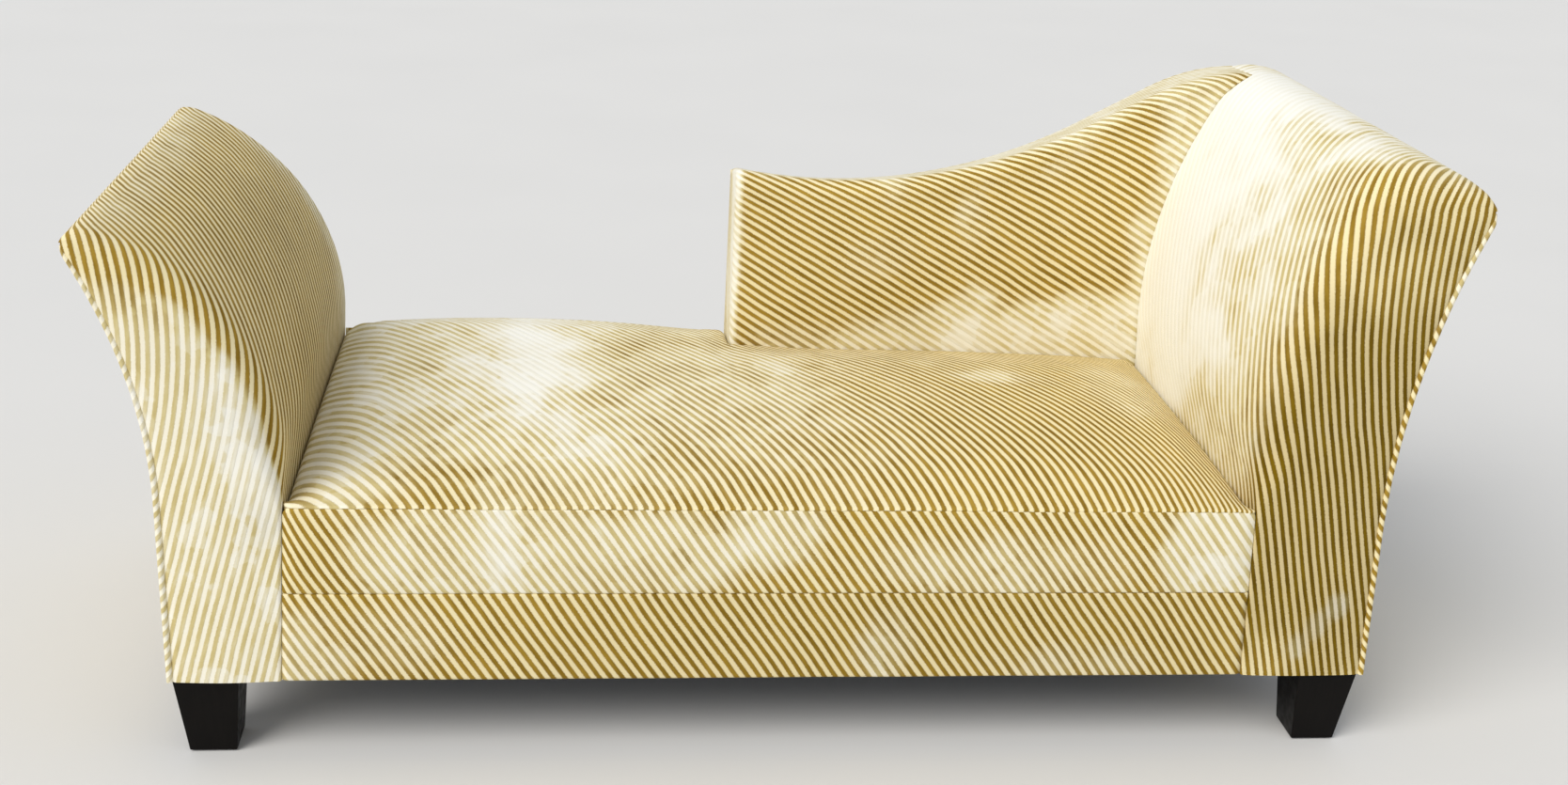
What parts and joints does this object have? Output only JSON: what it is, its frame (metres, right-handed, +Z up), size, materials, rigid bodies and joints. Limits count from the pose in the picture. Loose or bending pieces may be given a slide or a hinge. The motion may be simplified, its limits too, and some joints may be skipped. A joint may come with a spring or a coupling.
{
  "type": "chaise_longue",
  "caption": "Upholstered chaise longue with two flared ends of unlike height, a swooping part back, a tight crowned seat in striped velvet and tapered dark feet.",
  "frame": {"origin": "on the floor, under the middle of the whole outline", "axes": "+X along the seat toward the tall head end, front faces -Y, +Z up"},
  "size_m": [2.0122, 0.7845, 0.9383],
  "materials": {
    "stripe_fabric": "gold and cream striped velvet, softly worn",
    "hardwood": "bare sawn hardwood",
    "dark_wood": "near-black satin stain",
    "foam": "matt foam",
    "burlap": "plain woven burlap",
    "strap": "woven jute strap",
    "dust_cloth": "thin black cloth",
    "steel": "plain zinc-plated steel",
    "nylon": "matt black nylon"
  },
  "bodies": {
    "root": {"back_burlap": "burlap", "back_cover": "stripe_fabric", "back_end_post": "hardwood", "back_inner_post": "hardwood", "back_outside": "stripe_fabric", "back_padding": "foam", "back_swoop_rail": "hardwood", "back_tack_rail": "hardwood", "corner_block_front_left": "hardwood", "corner_block_front_right": "hardwood", "corner_block_rear_left": "hardwood", "corner_block_rear_right": "hardwood", "dust_cover": "dust_cloth", "foot_front_left": "dark_wood", "foot_front_right": "dark_wood", "foot_glides": "nylon", "foot_rear_left": "dark_wood", "foot_rear_right": "dark_wood", "frame_dowels": "hardwood", "front_rail": "hardwood", "front_rail_cover": "stripe_fabric", "hanger_bolts": "steel", "left_arm_burlap": "burlap", "left_arm_cover": "stripe_fabric", "left_arm_front_board": "hardwood", "left_arm_outside": "stripe_fabric", "left_arm_pad": "foam", "left_arm_rear_board": "hardwood", "left_arm_rear_panel": "stripe_fabric", "left_arm_tack_rail": "hardwood", "left_arm_top_rail": "hardwood", "left_arm_welt": "stripe_fabric", "left_end_rail": "hardwood", "left_outer_rail": "hardwood", "rear_rail": "hardwood", "right_arm_burlap": "burlap", "right_arm_cover": "stripe_fabric", "right_arm_front_board": "hardwood", "right_arm_outside": "stripe_fabric", "right_arm_pad": "foam", "right_arm_rear_board": "hardwood", "right_arm_tack_rail": "hardwood", "right_arm_top_rail": "hardwood", "right_arm_welt": "stripe_fabric", "right_end_rail": "hardwood", "right_outer_rail": "hardwood", "seat_border": "stripe_fabric", "seat_burlap": "burlap", "seat_cross_straps": "strap", "seat_foam": "foam", "seat_long_straps": "strap", "seat_rear_border": "stripe_fabric", "seat_stretcher_left": "hardwood", "seat_stretcher_right": "hardwood", "seat_top_cover": "stripe_fabric"}
  },
  "joints": []
}
